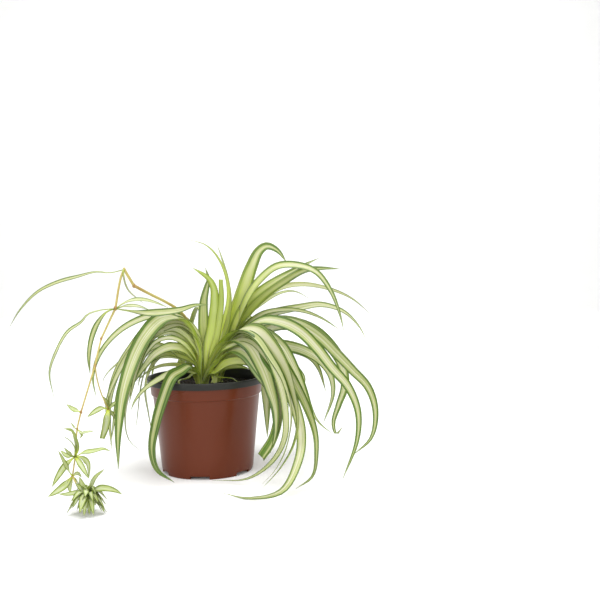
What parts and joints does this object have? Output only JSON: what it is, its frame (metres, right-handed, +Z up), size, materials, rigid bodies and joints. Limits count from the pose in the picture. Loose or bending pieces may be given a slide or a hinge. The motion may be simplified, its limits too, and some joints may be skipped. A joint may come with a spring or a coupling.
{
  "type": "potted spider plant",
  "caption": "Variegated spider plant with arching strap leaves in a round nursery pot, with a hanging runner that carries young plantlets.",
  "frame": {"origin": "middle of the pot's foot, on the surface that it stands on", "axes": "+Z up along the pot's axis; -Y is the plant's front, as pictured; +X to the right, where the longest leaves arch"},
  "size_m": [0.3581, 0.2902, 0.235],
  "materials": {
    "terracotta_plastic": "satin",
    "compost": "matte",
    "leaf": "satin",
    "runner_stem": "satin",
    "young_leaf": "satin"
  },
  "bodies": {
    "root": {"pot": "terracotta_plastic", "soil": "compost", "rosette_left": "leaf", "rosette_right": "leaf", "runner": "runner_stem", "kink_leaves": "leaf", "node_leaves": "leaf", "bract_leaf": "young_leaf", "curl_leaves": "young_leaf", "plantlet_upper": "young_leaf", "plantlet_small": "young_leaf", "plantlet_lower": "young_leaf", "plantlet_side": "young_leaf"}
  },
  "joints": []
}
